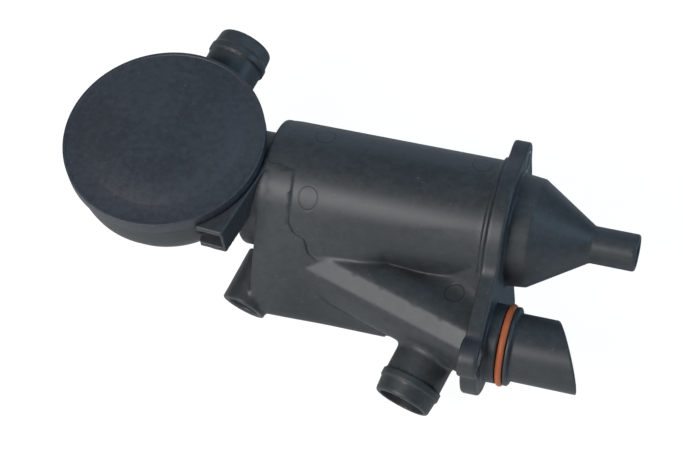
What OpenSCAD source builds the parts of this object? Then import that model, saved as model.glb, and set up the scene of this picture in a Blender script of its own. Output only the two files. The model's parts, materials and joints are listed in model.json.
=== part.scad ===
// Crankcase oil separator (oil catch can) with a diaphragm pressure valve.
// X runs along the separator barrel and out through the drain cone, Z runs up out of the valve cap.
// The origin is the centre of the cover flange's outer face, on the barrel's axis.

/* [Barrel] */
// Outer radius of the barrel
barrel_r = 23; // [21:0.5:25]
// Wall of the barrel and of the passages
wall = 2.5; // [2:0.1:3]
// Distance from the flange's outer face to the barrel's closed end
barrel_len = 88; // [84:1:96]
// Rounding of the barrel's closed end
barrel_round = 5.5; // [3:0.5:7]
// How far the joint lip stands out of the barrel beside the cover
lip_h = 1.4; // [1:0.1:2]
// Width of the joint lip
lip_w = 1.6; // [1:0.1:3]

/* [Block] */
// Radius of the block's far edge
block_edge_r = 6.3; // [5:0.1:7.5]
// Distance from the barrel's axis to the far edge's centre, across
block_reach = 37; // [35:0.5:39]
// How far the far edge lies below the barrel's axis
block_drop = 16; // [14:0.5:18]
// Length of the hollow between the barrel and the channel
pocket_len = 52; // [40:1:56]
// Height of the hollow's floor
pocket_floor_z = -9; // [-11:0.5:-7]

/* [Duct wrap] */
// How far the duct wrap stands proud of the barrel
wrap_h = 0.7; // [0.5:0.1:1.5]
// Place of the wrap's right edge along the barrel
wrap_x = -76; // [-78:1:-70]
// How far the wrap runs past the barrel's closed end
wrap_past = 7.5; // [5:0.5:9]
// Angle of the wrap's upper edge from straight up
wrap_angle = 14; // [10:1:20]

/* [Channel] */
// Outer radius of the slanting channel
channel_r = 13; // [12.5:0.1:13.5]
// Slope of the channel against the barrel
channel_slope = 17; // [15:0.5:19]
// Length of the channel
channel_len = 58; // [50:1:62]
// Radius of the channel's passage
channel_bore_r = 9.6; // [8.5:0.1:10]

/* [Cover] */
// Thickness of the cover flange
flange_t = 6; // [5:0.5:7]
// Radius of the flange round the barrel
flange_r = 26; // [25.5:0.1:28]
// Radius of the flange's lower lobe
lobe_r = 18.5; // [17.5:0.1:20]
// Radius of the flange's upper ear
ear_r = 6.8; // [6.2:0.1:8]
// Place of the upper ear's hole across the flange
ear_y = 20.6; // [19:0.2:23]
// Height of the upper ear's hole
ear_z = 12.5; // [11:0.5:15]
// Radius of the lower screw boss
boss_r = 6.7; // [6.2:0.1:7.5]
// Place of the lower boss across the flange
boss_y = -52.5; // [-54:0.5:-51]
// Height of the lower boss
boss_z = 0; // [-1:0.5:3]
// How far the lower boss stands back from the flange
boss_back = 0.5; // [0.3:0.1:3]
// Place of the bottom ear's hole across the flange
low_ear_y = -11; // [-13:0.5:-9]
// Height of the bottom ear's hole
low_ear_z = -44; // [-46:0.5:-40]
// Bore radius of the steel sleeves in the three screw holes
sleeve_bore_r = 3.2; // [2.7:0.1:3.3]
// Wall of the steel sleeves
sleeve_wall = 0.7; // [0.5:0.05:0.8]

/* [Drain cone] */
// Base radius of the drain cone
cone_r = 21.5; // [20:0.5:22]
// Length of the drain cone
cone_len = 27.5; // [24:0.5:30]
// Outer radius of the drain spigot
spigot_r = 6.6; // [6:0.1:7.5]
// Length of the drain spigot
spigot_len = 16; // [12:0.5:22]
// Bore radius of the drain spigot
spigot_bore_r = 4.8; // [4:0.1:5]
// Rounding of the spigot's outer end
spigot_round = 1.0; // [0.5:0.1:1.5]

/* [Sealed port] */
// Place of the port's axis across the flange
port_y = -39; // [-40:0.5:-38]
// Height of the port's axis
port_z = -12; // [-13:0.5:-11]
// Radius of the port's collar
collar_r = 13.9; // [13.2:0.1:14]
// Distance from the flange to the ring groove
groove_x = 4.6; // [3.5:0.1:6]
// Width of the ring groove
groove_w = 3.0; // [2.8:0.1:3.6]
// Radius of the groove's floor
groove_r = 12.1; // [11.9:0.1:12.4]
// Width of the collar past the groove
collar_end_w = 2.4; // [2:0.1:3]
// Outer radius of the port tube
port_tube_r = 12.0; // [11.4:0.1:12.0]
// Length of the port tube at its axis
port_tube_len = 27.6; // [24:0.5:30]
// Slant of the tube's cut end
port_cut_angle = 26; // [20:1:30]
// Section radius of the rubber ring
ring_section_r = 1.2; // [1.1:0.05:1.3]

/* [Hose nipples] */
// Lean of the lower nipple and of the small port against straight across
low_lean = 14.5; // [10:0.5:17]
// Fall of the lower nipple and of the small port towards their mouths
low_tilt = 12; // [0:1:15]
// Lean of the upper nipple against straight across
up_lean = 12.3; // [9:0.1:14]
// Rise of the upper nipple towards its mouth
up_tilt = 5.2; // [0:0.2:8]
// Bead radius of both hose nipples
bead_r = 11.1; // [10.8:0.1:11.6]
// Neck radius of both hose nipples
neck_r = 10.4; // [9.8:0.1:10.6]
// Bore radius of both hose nipples
nipple_bore_r = 8.4; // [7.5:0.1:8.6]
// Place of the lower nipple's mouth along the barrel
low_nipple_x = -26.4; // [-28:0.2:-25]
// Place of the lower nipple's mouth across the barrel
low_nipple_y = -62.8; // [-65:0.2:-61]
// Height of the lower nipple's mouth
low_nipple_z = -25; // [-26:0.5:-23]
// Length of the lower nipple from its closed root to its mouth
low_nipple_len = 34; // [32:0.5:36]
// Distance from the drum's centre to the upper nipple's mouth
up_nipple_reach = 55.5; // [54:0.5:60]
// Height of the upper nipple's axis over the drum's centre
up_nipple_z = 5; // [4:0.5:6]

/* [Small port] */
// Outer radius of the small port
small_port_r = 8.2; // [7.5:0.1:8.6]
// Radius of the small port's recess
small_bore_r = 5.5; // [4.5:0.1:6]
// Depth of the small port's recess
small_bore_depth = 5; // [4.5:0.5:5.5]
// Radius of the bleed hole at the recess's floor
bleed_r = 1.5; // [1:0.1:2]
// Place of the small port's mouth along the barrel
small_port_x = -90.8; // [-92:0.2:-90]
// Place of the small port's mouth across the barrel
small_port_y = -41; // [-43:0.5:-40]
// Height of the small port's mouth
small_port_z = -21.5; // [-23:0.5:-20.5]
// Length of the small port from its root to its mouth
small_port_len = 20; // [18:0.5:22]

/* [Valve drum] */
// Gap along the barrel between its closed end and the drum's rim
drum_gap = 2.6; // [2.4:0.1:4]
// Outer radius of the drum's wall
drum_r = 34; // [33:0.5:36]
// Height of the drum's rim
drum_top_z = 21.8; // [20:0.2:24]
// Height at which the drum's straight wall ends
drum_knee_z = 10; // [8:0.5:12]
// Depth of the drum's floor below the barrel's axis
drum_floor_z = -11.5; // [-14:0.5:-11]
// Place of the drum's centre across the barrel
drum_y = -5.5; // [-7:0.5:-4]
// Radius of the neck between barrel and drum
link_r = 17.5; // [16.5:0.5:18]
// Bore radius of the neck
link_bore_r = 11.5; // [9:0.5:12]
// Depth to which the neck plugs into the barrel's end
link_plug = 5; // [4:0.5:8]
// Clearance of plugged joints, in radius
plug_gap = 0.05; // [0.02:0.01:0.1]

/* [Lug] */
// How far the lug reaches across, from the barrel's axis
lug_reach = 36; // [34:0.5:38]
// Height of the lug's top face
lug_top_z = 22.4; // [21:0.2:23]
// Height of the lug's lower face
lug_low_z = 9.5; // [8.5:0.5:11]
// Thickness of the lug's plates
lug_plate = 2.4; // [2:0.1:3]

/* [Valve] */
// Radius of the valve cap
cap_r = 36; // [35.5:0.1:38]
// Thickness of the cap's flat band
cap_t = 3; // [2.5:0.1:4]
// Height of the cap's skirt
cap_skirt = 2; // [1.5:0.1:3]
// Radius of the raised centre of the cap
cap_step_r = 28.5; // [26:0.5:30]
// Height of the step round the cap's centre
cap_step_h = 0.4; // [0.3:0.1:1.5]
// Rise of the cap's domed centre above the step
cap_dome_h = 1.6; // [1:0.1:2.5]
// Thickness of the diaphragm
diaphragm_t = 0.8; // [0.6:0.1:1.2]
// Radius of the diaphragm's plate
plate_r = 19; // [17:0.5:21]
// Thickness of the diaphragm's plate
plate_t = 1.5; // [1.2:0.1:2]
// Radius of the valve pad
pad_r = 9.5; // [9:0.1:10.5]
// Thickness of the valve pad
pad_t = 1.5; // [1:0.1:2]
// Outer radius of the seat tube
seat_r = 8.4; // [7.8:0.1:8.8]
// Bore radius of the seat tube
seat_bore_r = 6.2; // [5:0.1:6.4]
// Height of the seat
seat_z = 11.5; // [10.5:0.5:12]
// Travel of the valve from open to its seat
valve_travel = 3.9; // [3:0.1:4]
// Gap that is left over the seat when the valve is shut
seat_gap = 0.1; // [0.05:0.05:0.3]
// Mean radius of the valve spring
spring_r = 13; // [12:0.5:14]
// Wire radius of the valve spring
spring_wire_r = 0.6; // [0.5:0.05:0.8]
// Number of turns of the valve spring
spring_turns = 3; // [2:1:4]
// Height of the ledge that carries the spring
ledge_z = 7.5; // [6.5:0.5:8.5]

/* [Hidden] */
$fn = 96;

// Overlap that makes cuts run clean through
cut = 1;
plastic = [0.13, 0.14, 0.15];
dark_plastic = [0.10, 0.10, 0.11];
rubber = [0.05, 0.05, 0.05];
ring_rubber = [0.75, 0.33, 0.18];
steel = [0.70, 0.71, 0.72];

chamber_r = barrel_r - wall;
end_wall = 3.5;
cover_in_x = -flange_t;

// The channel starts at the sealed port and climbs towards the barrel's closed end
channel_dir = [-cos(channel_slope), sin(channel_slope), 0];
channel_end = [cover_in_x, port_y, port_z] + channel_dir * channel_len;

// The drum
drum_x = -(barrel_len + drum_gap + drum_r);
drum_in_r = drum_r - wall;
drum_floor_r = 19;
drum_knee_in = 4;
drum_knee_drop = 9;
drum_centre = [drum_x, drum_y, 0];

// The duct from the channel to the seat: along the block, then slanting under the drum's floor
duct_r = 7.5;
duct_bore_r = 5.5;
duct_cover = 2;
duct_y = -(chamber_r + wall / 2 + duct_bore_r + duct_cover);
duct_z = -9.5;
duct_end_gap = 1.5;
duct_from = [duct_bore_r - barrel_len - duct_end_gap, duct_y, duct_z];
duct_past_channel = 14;
duct_run = [drum_x, drum_y, duct_z] - duct_from;
duct_len = norm(duct_run);
duct_turn = atan2(duct_run[1], duct_run[0]);
// Where the slanting duct's plug ends inside the block
duct_seat = 2;

// The ring inside the cap that stops the open valve, and the vent round it
stop_r = 12;
stop_wall = 2;
stop_gap = 0.1;
vent_w = 3;

// Small steps of the cap: over the drum's rim, inside the rim's lip, and the chamfer on the lip
rim_gap = 1.5;
lip_drop = 0.3;
lip_in = 1.3;
cap_chamfer = 0.4;
skirt_gap = 0.15;
dome_in = 0.8;

// How far the neck and the upper nipple reach into the drum, and how far their bores do
neck_in = 8;
bore_in = 6;

// Fold of the diaphragm between its plate and its rim
fold_depth = 3.2;
fold_in = 1.6;
fold_low_in = 1;
fold_low_out = 2;

// Bead and nose of the hose nipples
bead_w = 3;
nose = 5.5;
nose_round = 0.8;

// Clearance of parts that pass each other, and of the boss behind the flange
pass_gap = 0.3;

// Lug: its plan, the plan of its slot and the room it leaves over itself for the cap
lug_edge = [[-93, -lug_reach - 1.2], [-88, -12], [-85.3, -4.6], [-93, -1], [-112, -10],
            [-103.6, -lug_reach]];
slot_edge = [[-98, -42], [-90.3, -12], [-93, -8], [-110, -12], [-112, -42]];
cap_room = 10;

// Hidden centres inside the flange's outline, from which its lobe and its ears grow
lobe_from = [-6, -4];
lobe_to = [port_y - 1, port_z + 0.5];
ear_root_r = 16.2;
low_ear_root = [-14, -16];
low_ear_root_r = 9.2;

// The cone's foot and the funnel's mouth
cone_foot_in = 1.2;
cone_foot_len = 4.5;
funnel_in = 3;

// Heights in the valve
cap_under_z = drum_top_z + 1.5;
cap_top_z = cap_under_z + cap_t;
cap_low_z = drum_top_z - cap_skirt + rim_gap;
band_z = cap_top_z - lip_drop;
pad_z = seat_z + seat_gap + valve_travel;
plate_z = pad_z + pad_t;
plate_top_z = plate_z + plate_t;

// Sleeves in the two screw holes
sleeve_r = sleeve_bore_r + sleeve_wall;
sleeve_gap = 0.03;

// A cylinder along +X whose low end is at x
module rod_x(r, x, len, y = 0, z = 0) {
    translate([x, y, z]) rotate([0, 90, 0]) cylinder(r = r, h = len);
}

// Turns a shape that points along +Z so that it points out of the lower side, or out of the upper side
module point_down(x, y, z) {
    translate([x, y, z]) rotate([0, 0, -low_lean]) rotate([90 + low_tilt, 0, 0]) children();
}

module point_up(x, y, z) {
    translate([x, y, z]) rotate([0, 0, -up_lean]) rotate([up_tilt - 90, 0, 0]) children();
}

// A cylinder from one point to another
module rod_between(a, b, r) {
    run = b - a;
    len = norm(run);
    translate(a) rotate([0, acos(run[2] / len), atan2(run[1], run[0])]) cylinder(r = r, h = len);
}

// Outer form of the barrel, as a body turned about X
module barrel_form() {
    straight = barrel_len - flange_t - barrel_round;
    rotate([0, -90, 0]) rotate_extrude() {
        translate([0, flange_t]) square([barrel_r, straight]);
        translate([0, flange_t]) square([barrel_r - barrel_round, straight + barrel_round]);
        intersection() {
            translate([barrel_r - barrel_round, flange_t + straight]) circle(r = barrel_round);
            translate([0, flange_t + straight - cut]) square([barrel_r, barrel_round + 2 * cut]);
        }
    }
}

// Section of the block: from the barrel's axis out to the round far edge and its two tangents
module block_section() {
    root_r = barrel_r - 0.4;
    far = norm([block_reach, block_drop]);
    base = atan2(-block_drop, -block_reach);
    swing = acos((root_r - block_edge_r) / far);
    c = [-block_reach, -block_drop];
    steps = 16;
    edge = [for (i = [0:steps]) let (a = base + swing * (1 - 2 * i / steps))
            c + block_edge_r * [cos(a), sin(a)]];
    polygon(concat([[0, 0], root_r * [cos(base + swing), sin(base + swing)]], edge,
                   [root_r * [cos(base - swing), sin(base - swing)]]));
}

// Puts a section drawn in (Y, Z) on the barrel's axis, from x to x + len
module along_x(x, len) {
    translate([x, 0, 0]) rotate([90, 0, 90]) linear_extrude(height = len) children();
}

module block() {
    difference() {
        along_x(-barrel_len, barrel_len - flange_t) block_section();
        // The hollow between barrel and channel
        translate([cover_in_x - pocket_len, port_y - channel_r - cut, pocket_floor_z])
            cube([pocket_len + cut, -port_y + channel_r + cut, barrel_r * 2]);
    }
}

// The duct wrap over the barrel's closed end, cut back where the drum, the neck and the lug lie
module duct_wrap() {
    low_z = 6;
    r = barrel_r + wrap_h;
    past = barrel_len + wrap_past;
    difference() {
        intersection() {
            rod_x(r, -past, past + wrap_x);
            along_x(-past - cut, past + wrap_x + 2 * cut)
                polygon([[2, 0], 2 * r * [-sin(wrap_angle), cos(wrap_angle)], [-2 * r, 2 * r],
                         [-2 * r, -r - 1], [2, -r - 1]]);
        }
        translate([-2 * barrel_len, -2 * r, low_z]) cube([barrel_len, 3 * r, 2 * r]);
        rod_x(link_r + pass_gap, -past - cut, wrap_past + cut);
        drum_form(pass_gap);
    }
}

module channel_tube(r, extra = 0) {
    translate([cover_in_x, port_y, port_z]) rotate([0, -90, -channel_slope])
        translate([0, 0, -extra]) cylinder(r = r, h = channel_len + extra);
}

// The channel's outer form, with a tapered end inside the block
module channel_form() {
    intersection() {
        translate([cover_in_x, port_y, port_z]) rotate([0, -90, -channel_slope]) rotate_extrude()
            polygon([[0, -channel_r], [channel_r, -channel_r], [channel_r, channel_len - 8],
                     [channel_r - 5, channel_len + 4], [0, channel_len + 4]]);
        translate([-barrel_len, -2 * barrel_len, -barrel_len])
            cube([barrel_len - flange_t, 2 * barrel_len, 2 * barrel_len]);
    }
}

// Outer form of a hose nipple that points along +Z, from its root to its mouth at height len
module nipple_form(len, root = 0) {
    bead_from = len - nose - bead_w;
    rotate_extrude() polygon([[0, root], [neck_r, root], [neck_r, bead_from], [bead_r, bead_from],
                              [bead_r, len - nose], [neck_r, len - 1], [neck_r - nose_round, len], [0, len]]);
}

// Both lower pieces are drawn from root to mouth, with the mouth in its place
module low_nipple_at() {
    point_down(low_nipple_x, low_nipple_y, low_nipple_z) translate([0, 0, -low_nipple_len]) children();
}

module small_port_at() {
    point_down(small_port_x, small_port_y, small_port_z) translate([0, 0, -small_port_len]) children();
}

// Outward direction of the lower nipple and of the small port
low_dir = [-sin(low_lean) * cos(low_tilt), -cos(low_lean) * cos(low_tilt), -sin(low_tilt)];
small_floor = [small_port_x, small_port_y, small_port_z] - low_dir * (small_bore_depth - cut);

module duct_passage(r, from, len) {
    translate(duct_from) rotate([0, 90, duct_turn]) translate([0, 0, from]) cylinder(r = r, h = len);
}

module separator_housing() {
    color(plastic) difference() {
        union() {
            barrel_form();
            block();
            duct_wrap();
            channel_form();
            rod_x(barrel_r + lip_h, cover_in_x - lip_w, lip_w);
            low_nipple_at() nipple_form(low_nipple_len);
            small_port_at() cylinder(r = small_port_r, h = small_port_len);
        }
        // Room for the cover's lower boss
        rod_x(boss_r + pass_gap, cover_in_x - boss_back - pass_gap, boss_back + pass_gap + cut,
              boss_y, boss_z);
        // The separating chamber, open at the cover
        rod_x(chamber_r, end_wall - barrel_len, barrel_len - end_wall - flange_t + cut);
        // The hole that takes the neck's plug
        rod_x(link_r - wall + plug_gap, -barrel_len - cut, end_wall + 2 * cut);
        // The slanting passage and the lower nipple's bore that opens into it
        channel_tube(channel_bore_r, cut);
        low_nipple_at() translate([0, 0, wall]) cylinder(r = nipple_bore_r, h = low_nipple_len);
        // The duct towards the valve seat and the seat of its plug
        rod_x(duct_bore_r, duct_from[0], channel_end[0] - duct_from[0] + duct_past_channel, duct_y, duct_z);
        duct_passage(duct_r + plug_gap, duct_seat, duct_len);
        // The small port's recess and its bleed hole into the duct
        small_port_at() translate([0, 0, small_port_len - small_bore_depth])
            cylinder(r = small_bore_r, h = small_bore_depth + cut);
        rod_between(small_floor, duct_from + [duct_cover * 1.5, 0, 0], bleed_r);
    }
}

module flange_section() {
    circle(r = flange_r);
    hull() {
        circle(r = ear_root_r);
        translate([ear_y, ear_z]) circle(r = ear_r);
    }
    hull() {
        translate(low_ear_root) circle(r = low_ear_root_r);
        translate([low_ear_y, low_ear_z]) circle(r = ear_r);
    }
    hull() {
        translate(lobe_from) circle(r = lobe_r);
        translate(lobe_to) circle(r = lobe_r);
    }
    hull() {
        translate([boss_y, boss_z]) circle(r = boss_r - 1);
        translate([port_y, port_z]) circle(r = boss_r);
    }
}

// The port's outer form, turned about its own axis
module port_form() {
    ring_end = groove_x + groove_w + collar_end_w;
    rotate([0, 90, 0]) rotate_extrude()
        polygon([[0, -cut], [collar_r, -cut], [collar_r, groove_x], [groove_r, groove_x],
                 [groove_r, groove_x + groove_w], [collar_r, groove_x + groove_w],
                 [collar_r, ring_end - 0.5], [collar_r - 0.5, ring_end], [port_tube_r, ring_end],
                 [port_tube_r, port_tube_len + port_tube_r], [0, port_tube_len + port_tube_r]]);
}

module end_cover() {
    color(plastic) difference() {
        union() {
            along_x(cover_in_x, flange_t) flange_section();
            // The boss that stands back behind the lower screw hole
            rod_x(boss_r, cover_in_x - boss_back, boss_back + flange_t, boss_y, boss_z);
            // The drain cone and its spigot
            rotate([0, 90, 0]) rotate_extrude()
                polygon([[0, -cut], [cone_r, -cut], [cone_r, 0], [cone_r - cone_foot_in, cone_foot_len],
                         [spigot_r, cone_len],
                         [spigot_r, cone_len + spigot_len - spigot_round],
                         [spigot_r - spigot_round * 0.3, cone_len + spigot_len - spigot_round * 0.3],
                         [spigot_r - spigot_round, cone_len + spigot_len], [0, cone_len + spigot_len]]);
            difference() {
                translate([0, port_y, port_z]) port_form();
                translate([port_tube_len, port_y, port_z]) rotate([0, 0, port_cut_angle])
                    translate([0, -2 * port_tube_len, -collar_r - cut])
                        cube([2 * port_tube_len, 4 * port_tube_len, 2 * (collar_r + cut)]);
            }
        }
        // The funnel inside the cone
        rotate([0, 90, 0]) rotate_extrude()
            polygon([[0, cover_in_x - cut], [chamber_r - funnel_in, cover_in_x - cut],
                     [chamber_r - funnel_in, 1], [spigot_bore_r, cone_len - 2],
                     [spigot_bore_r, cone_len + spigot_len + cut],
                     [0, cone_len + spigot_len + cut]]);
        rod_x(channel_bore_r, cover_in_x - cut, port_tube_len * 2, port_y, port_z);
        rod_x(sleeve_r + sleeve_gap, cover_in_x - cut, flange_t + 2 * cut, ear_y, ear_z);
        rod_x(sleeve_r + sleeve_gap, cover_in_x - cut, flange_t + 2 * cut, low_ear_y, low_ear_z);
        rod_x(sleeve_r + sleeve_gap, cover_in_x - boss_back - cut, flange_t + boss_back + 2 * cut,
              boss_y, boss_z);
    }
}

module port_ring() {
    color(ring_rubber) translate([groove_x + groove_w / 2, port_y, port_z]) rotate([0, 90, 0])
        rotate_extrude() translate([groove_r + ring_section_r + 0.05, 0])
            circle(r = ring_section_r, $fn = 32);
}

module sleeve(y, z, len) {
    difference() {
        rod_x(sleeve_r, -len, len, y, z);
        rod_x(sleeve_bore_r, -len - cut, len + 2 * cut, y, z);
    }
}

module sleeve_upper() {
    color(steel) sleeve(ear_y, ear_z, flange_t);
}

module sleeve_lower() {
    color(steel) sleeve(boss_y, boss_z, flange_t + boss_back);
}

module sleeve_bottom() {
    color(steel) sleeve(low_ear_y, low_ear_z, flange_t);
}

// Outer form of the drum, grown by grow
module drum_form(grow = 0) {
    translate(drum_centre) rotate_extrude()
        polygon([[0, drum_floor_z - grow], [drum_floor_r + grow, drum_floor_z - grow],
                 [drum_r - drum_knee_in + grow, drum_knee_z - drum_knee_drop],
                 [drum_r + grow, drum_knee_z],
                 [drum_r + grow, drum_top_z], [0, drum_top_z]]);
}

module drum_hollow() {
    translate(drum_centre) rotate_extrude()
        polygon([[0, drum_floor_z + wall], [drum_floor_r - 1, drum_floor_z + wall],
                 [drum_in_r - drum_knee_in - 0.2, drum_knee_z - drum_knee_drop + 0.6],
                 [drum_in_r, drum_knee_z + 0.3],
                 [drum_in_r, drum_top_z + cut], [0, drum_top_z + cut]]);
}

// The lug between the drum and the barrel, with a slot that opens away from the barrel
module lug() {
    difference() {
        translate([0, 0, lug_low_z]) linear_extrude(height = lug_top_z - lug_low_z) polygon(lug_edge);
        translate([0, 0, lug_low_z + lug_plate])
            linear_extrude(height = lug_top_z - lug_low_z - 2 * lug_plate) polygon(slot_edge);
        rod_x(barrel_r + wrap_h + pass_gap, -barrel_len - pass_gap, barrel_len);
        translate([drum_x, drum_y, drum_top_z - cap_skirt])
            cylinder(r = cap_r + pass_gap, h = 2 * cap_t + cap_room);
    }
}

module valve_housing() {
    color(plastic) difference() {
        union() {
            difference() {
                union() {
                    drum_form();
                    lug();
                    // The neck, from inside the drum to the barrel's end
                    rod_x(link_r, drum_x + drum_r / 2, drum_r / 2 + drum_gap - 0.2);
                    rod_x(link_r - wall, drum_x + drum_r / 2, drum_r / 2 + drum_gap + end_wall);
                    point_up(drum_x, drum_y, up_nipple_z) nipple_form(up_nipple_reach, drum_in_r - neck_in);
                }
                drum_hollow();
            }
            // The spring's ledge, the seat tube and the slanting duct that leads to it
            translate([drum_x, drum_y, drum_floor_z + wall / 2])
                cylinder(r = spring_r + 2, h = ledge_z - drum_floor_z - wall / 2);
            translate([drum_x, drum_y, duct_z - duct_r + 1])
                cylinder(r = seat_r, h = seat_z - duct_z + duct_r - 1);
            duct_passage(duct_r, duct_seat + 0.2, duct_len - duct_seat + 1);
        }
        rod_x(link_bore_r, drum_x + drum_in_r - neck_in, wall + neck_in + drum_gap + end_wall + cut);
        point_up(drum_x, drum_y, up_nipple_z)
            translate([0, 0, drum_in_r - bore_in])
                cylinder(r = nipple_bore_r, h = up_nipple_reach - drum_in_r + bore_in + cut);
        translate([drum_x, drum_y, duct_z]) cylinder(r = seat_bore_r, h = seat_z - duct_z + cut);
        duct_passage(duct_bore_r, 0, duct_len + 0.7);
    }
}

module valve_cap() {
    color(dark_plastic) translate([drum_x, drum_y, 0]) difference() {
        rotate_extrude() polygon(concat(
            [[0, plate_top_z + diaphragm_t + stop_gap], [stop_r, plate_top_z + diaphragm_t + stop_gap],
             [stop_r, cap_under_z], [drum_r + skirt_gap, cap_under_z], [drum_r + skirt_gap, cap_low_z],
             [cap_r, cap_low_z], [cap_r, cap_top_z - cap_chamfer], [cap_r - cap_chamfer, cap_top_z],
             [cap_r - lip_in + lip_drop, cap_top_z], [cap_r - lip_in, band_z], [cap_step_r + 0.2, band_z],
             [cap_step_r, band_z - cap_step_h]],
            [for (i = [0:12]) let (t = i / 12)
                [(cap_step_r - dome_in) * (1 - t),
                 band_z - cap_step_h + (cap_step_h + cap_dome_h) * sin(90 * min(1, t * 2.2))]]));
        // The vent chamber over the diaphragm, round the ring that stops the valve
        translate([0, 0, cap_under_z - cut]) difference() {
            cylinder(r = plate_r + vent_w, h = cut + cap_t / 3);
            cylinder(r = stop_r, h = 2 * cut + cap_t / 3);
        }
        translate([0, 0, plate_z]) cylinder(r = stop_r - stop_wall, h = cap_under_z - plate_z + cap_t / 3);
    }
}

module diaphragm() {
    bead_in = drum_in_r;
    bead_out = drum_r - skirt_gap;
    mid_r = (bead_in + plate_r) / 2;
    low_z = plate_z - fold_depth;
    color(rubber) translate([drum_x, drum_y, 0]) rotate_extrude()
        polygon([[0, plate_top_z], [plate_r, plate_top_z], [plate_r + fold_low_in, plate_z],
                 [mid_r - fold_low_in, low_z], [mid_r + fold_low_out, low_z],
                 [bead_in - fold_low_in, drum_top_z],
                 [bead_out, drum_top_z], [bead_out, cap_under_z], [bead_in - fold_in, cap_under_z],
                 [mid_r + fold_in, low_z + diaphragm_t], [mid_r - 0.6, low_z + diaphragm_t],
                 [plate_r + fold_in, plate_top_z + diaphragm_t], [0, plate_top_z + diaphragm_t]]);
}

module diaphragm_plate() {
    color(dark_plastic) translate([drum_x, drum_y, plate_z]) cylinder(r = plate_r, h = plate_t);
}

module valve_pad() {
    color(rubber) translate([drum_x, drum_y, pad_z]) cylinder(r = pad_r, h = pad_t);
}

// One ring of the spring's wire for each half turn, joined by slanting lengths
module valve_spring() {
    steps = 16;
    low = ledge_z + spring_wire_r;
    high = plate_z - spring_wire_r;
    n = spring_turns * steps;
    sides = 8;
    function centre(i) = [spring_r * cos(360 * i / steps), spring_r * sin(360 * i / steps),
                          low + (high - low) * i / n];
    function ring_point(i, j) = centre(i)
        + spring_wire_r * cos(360 * j / sides) * [cos(360 * i / steps), sin(360 * i / steps), 0]
        + spring_wire_r * sin(360 * j / sides) * [0, 0, 1];
    points = [for (i = [0:n]) for (j = [0:sides - 1]) ring_point(i, j)];
    tube = [for (i = [0:n - 1]) for (j = [0:sides - 1])
            [i * sides + j, i * sides + (j + 1) % sides,
             (i + 1) * sides + (j + 1) % sides, (i + 1) * sides + j]];
    first = [for (j = [0:sides - 1]) sides - 1 - j];
    last = [for (j = [0:sides - 1]) n * sides + j];
    color(steel) translate([drum_x, drum_y, 0])
        polyhedron(points = points, faces = concat(tube, [first, last]));
}

separator_housing();
end_cover();
port_ring();
sleeve_upper();
sleeve_lower();
sleeve_bottom();
valve_housing();
valve_cap();
diaphragm();
diaphragm_plate();
valve_pad();
valve_spring();
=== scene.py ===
# %% [markdown]
# # A crankcase oil separator in black moulded plastic
# The separator is a round barrel with a drain cone, a slanting gas channel, two hose nipples and
# a round diaphragm valve. Its construction is fixed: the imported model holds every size, mount and joint.
# This lesson dresses that frame: it models the moulded skins with their soft edges and fillets,
# gives each surface its finish, and lights it on a pale floor.

# %% Load the frame
import json
import math

import bpy
import numpy as np
import openvdb
from mathutils import Matrix, Vector


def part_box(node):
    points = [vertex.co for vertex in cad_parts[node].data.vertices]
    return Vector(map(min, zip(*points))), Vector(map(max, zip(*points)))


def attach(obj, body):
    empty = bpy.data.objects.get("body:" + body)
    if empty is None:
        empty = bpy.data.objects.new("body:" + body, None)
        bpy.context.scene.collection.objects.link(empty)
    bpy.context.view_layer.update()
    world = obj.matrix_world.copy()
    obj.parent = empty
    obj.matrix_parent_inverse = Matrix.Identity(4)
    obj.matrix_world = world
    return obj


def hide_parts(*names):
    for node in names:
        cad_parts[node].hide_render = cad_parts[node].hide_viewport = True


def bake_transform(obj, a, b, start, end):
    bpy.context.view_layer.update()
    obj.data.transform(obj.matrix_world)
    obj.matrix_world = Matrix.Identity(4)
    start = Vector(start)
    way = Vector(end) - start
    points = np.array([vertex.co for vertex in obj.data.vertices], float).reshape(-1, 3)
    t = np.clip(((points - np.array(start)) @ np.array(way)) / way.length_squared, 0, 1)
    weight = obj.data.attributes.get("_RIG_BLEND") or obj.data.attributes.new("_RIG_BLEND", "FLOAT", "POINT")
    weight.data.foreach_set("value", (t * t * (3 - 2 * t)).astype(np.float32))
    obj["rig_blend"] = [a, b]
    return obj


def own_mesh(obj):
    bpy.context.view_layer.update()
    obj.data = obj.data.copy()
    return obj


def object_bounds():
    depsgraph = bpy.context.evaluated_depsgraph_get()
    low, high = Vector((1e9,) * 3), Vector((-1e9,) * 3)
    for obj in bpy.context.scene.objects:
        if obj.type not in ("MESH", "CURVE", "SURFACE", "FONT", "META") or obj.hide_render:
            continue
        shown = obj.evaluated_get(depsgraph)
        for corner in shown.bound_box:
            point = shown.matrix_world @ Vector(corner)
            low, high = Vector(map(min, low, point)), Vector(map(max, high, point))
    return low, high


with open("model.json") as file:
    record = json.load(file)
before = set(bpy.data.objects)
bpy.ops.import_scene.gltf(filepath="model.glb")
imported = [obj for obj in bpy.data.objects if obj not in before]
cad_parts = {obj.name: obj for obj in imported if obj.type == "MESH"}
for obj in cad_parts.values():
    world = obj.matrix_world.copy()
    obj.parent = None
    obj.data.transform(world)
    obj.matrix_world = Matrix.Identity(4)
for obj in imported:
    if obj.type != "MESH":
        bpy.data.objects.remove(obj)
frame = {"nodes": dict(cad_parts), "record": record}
cad_low, cad_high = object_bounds()
print("frame box in metres:", tuple(cad_low), tuple(cad_high))

# %% [markdown]
# ## The camera comes first
# The photograph was taken from above the part's front, with a long lens, so that lines along the barrel
# stay nearly parallel. A camera needs a place, a direction to its right and one to its top.
# The third direction, out of its back, follows from the other two.

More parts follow.
